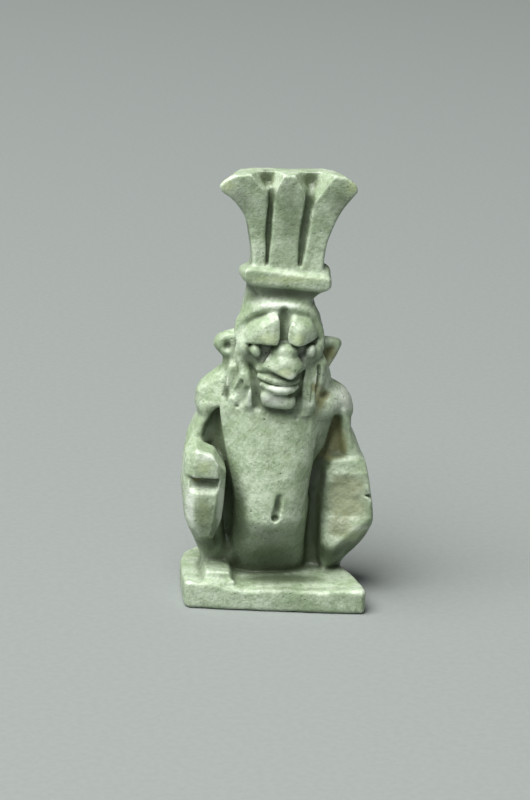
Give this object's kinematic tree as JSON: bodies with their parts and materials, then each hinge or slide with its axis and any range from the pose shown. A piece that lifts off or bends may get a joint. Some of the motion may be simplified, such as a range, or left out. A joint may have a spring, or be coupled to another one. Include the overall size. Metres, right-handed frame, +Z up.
{
  "type": "bes figure",
  "caption": "Small faience figure of a squatting dwarf god in a plumed crown, moulded in one with its flat plinth; a knee and foot are broken away.",
  "frame": {"origin": "under the middle of the figure's bounding box, on the plinth's underside", "axes": "+Z up from the plinth to the crown, -Y the figure's front, +X to the viewer's right when facing it"},
  "size_m": [0.017, 0.0124, 0.0379],
  "materials": {
    "faience": "worn satin glaze"
  },
  "bodies": {
    "root": {"bes_figure": "faience"}
  },
  "joints": []
}
